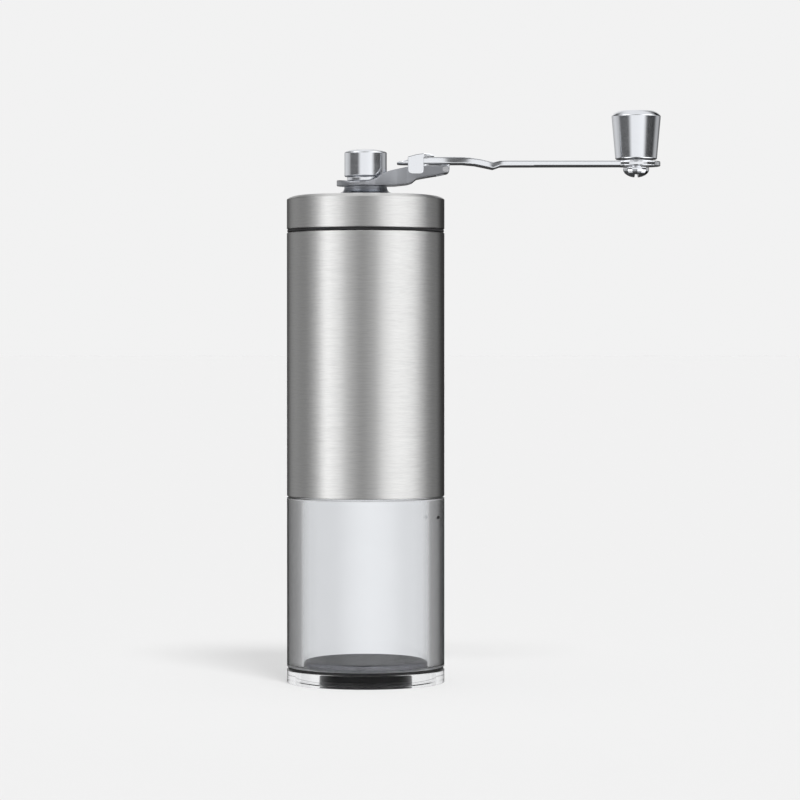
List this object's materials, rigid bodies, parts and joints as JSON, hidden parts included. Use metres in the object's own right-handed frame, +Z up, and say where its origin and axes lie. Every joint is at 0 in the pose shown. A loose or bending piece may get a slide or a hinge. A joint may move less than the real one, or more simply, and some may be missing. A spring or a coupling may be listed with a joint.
{
  "type": "hand crank coffee grinder",
  "caption": "Slim hand coffee grinder: brushed metal body over a clear grounds cup, with a lid and a folding crank arm that ends in a tapered knob.",
  "frame": {"origin": "centre of the base's underside, on the body's axis", "axes": "+Z up along the body's axis, +X towards the crank's knob, +Y completes the right-handed frame"},
  "size_m": [0.1186, 0.05, 0.1813],
  "materials": {
    "clear_acrylic": "polished clear acrylic",
    "rubber": "matt black rubber",
    "black_gloss": "glossy black plastic",
    "black_plastic": "moulded black plastic",
    "brushed_body": "circumferentially brushed stainless steel",
    "steel": "plain bright steel",
    "burr_steel": "ground hardened steel",
    "chrome": "polished chrome plate",
    "brass": "turned brass"
  },
  "bodies": {
    "cup": {"base_ring": "clear_acrylic", "foot_pad": "rubber", "floor_plug": "black_gloss", "base_gasket": "rubber", "grounds_cup": "clear_acrylic", "cup_seal": "rubber"},
    "body": {"outer_sleeve": "brushed_body", "burr_housing": "black_plastic", "lower_bridge": "black_plastic", "upper_bridge": "black_plastic", "hopper_liner": "black_plastic", "stack_ring": "steel", "lower_bush": "brass", "upper_bush": "brass", "outer_burr": "burr_steel", "burr_retainer": "steel", "retainer_screw_1": "steel", "retainer_screw_2": "steel", "retainer_screw_3": "steel"},
    "lid": {"lid_shell": "brushed_body", "lid_plug": "black_plastic", "lid_seal": "rubber", "hub_collar": "chrome"},
    "crank": {"hub_cap": "chrome", "hub_washer": "steel", "hub_clip": "steel", "crank_bracket": "chrome", "hinge_pin": "steel"},
    "arm": {"crank_arm": "chrome", "arm_clip": "chrome", "clip_rivet": "steel", "knob_screw": "chrome", "knob_washer": "steel", "knob_clip": "steel"},
    "knob": {"handle_knob": "chrome", "knob_cap": "chrome", "knob_bush": "brass"},
    "shaft": {"drive_shaft": "steel", "shaft_collar": "steel", "spring_seat": "steel", "burr_spring": "steel"},
    "burr": {"inner_burr": "burr_steel", "burr_carrier": "brass", "click_plate": "steel"},
    "adjuster": {"adjuster_nut": "black_plastic"}
  },
  "joints": [
    {"name": "body_lift", "type": "slide", "parent": "cup", "child": "body", "axis": [0, 0, 1], "range_m": [0, 0.03]},
    {"name": "lid_lift", "type": "slide", "parent": "body", "child": "lid", "axis": [0, 0, 1], "range_m": [0, 0.04]},
    {"name": "crank_spin", "type": "hinge", "parent": "lid", "child": "crank", "pos_m": [0, 0, 0.155], "axis": [0, 0, 1], "continuous": true},
    {"name": "arm_fold", "type": "hinge", "parent": "crank", "child": "arm", "pos_m": [0.0253, 0, 0.16245], "axis": [0, 1, 0], "range_deg": [0, 86]},
    {"name": "knob_spin", "type": "hinge", "parent": "arm", "child": "knob", "pos_m": [0.0858, 0, 0.17], "axis": [0, 0, 1], "continuous": true},
    {"name": "shaft_spin", "type": "hinge", "parent": "body", "child": "shaft", "pos_m": [0, 0, 0.1], "axis": [0, 0, 1], "continuous": true},
    {"name": "burr_travel", "type": "slide", "parent": "shaft", "child": "burr", "axis": [0, 0, -1], "range_m": [0, 0.001], "deforming": ["burr_spring"]},
    {"name": "adjust_turn", "type": "hinge", "parent": "burr", "child": "adjuster", "pos_m": [0, 0, 0.065], "axis": [0, 0, 1], "range_deg": [0, 720]}
  ],
  "couplings": [
    {"joint": "shaft_spin", "follows": "crank_spin", "ratio": 1},
    {"joint": "adjust_turn", "follows": "burr_travel", "rad_per_m": 12560}
  ]
}
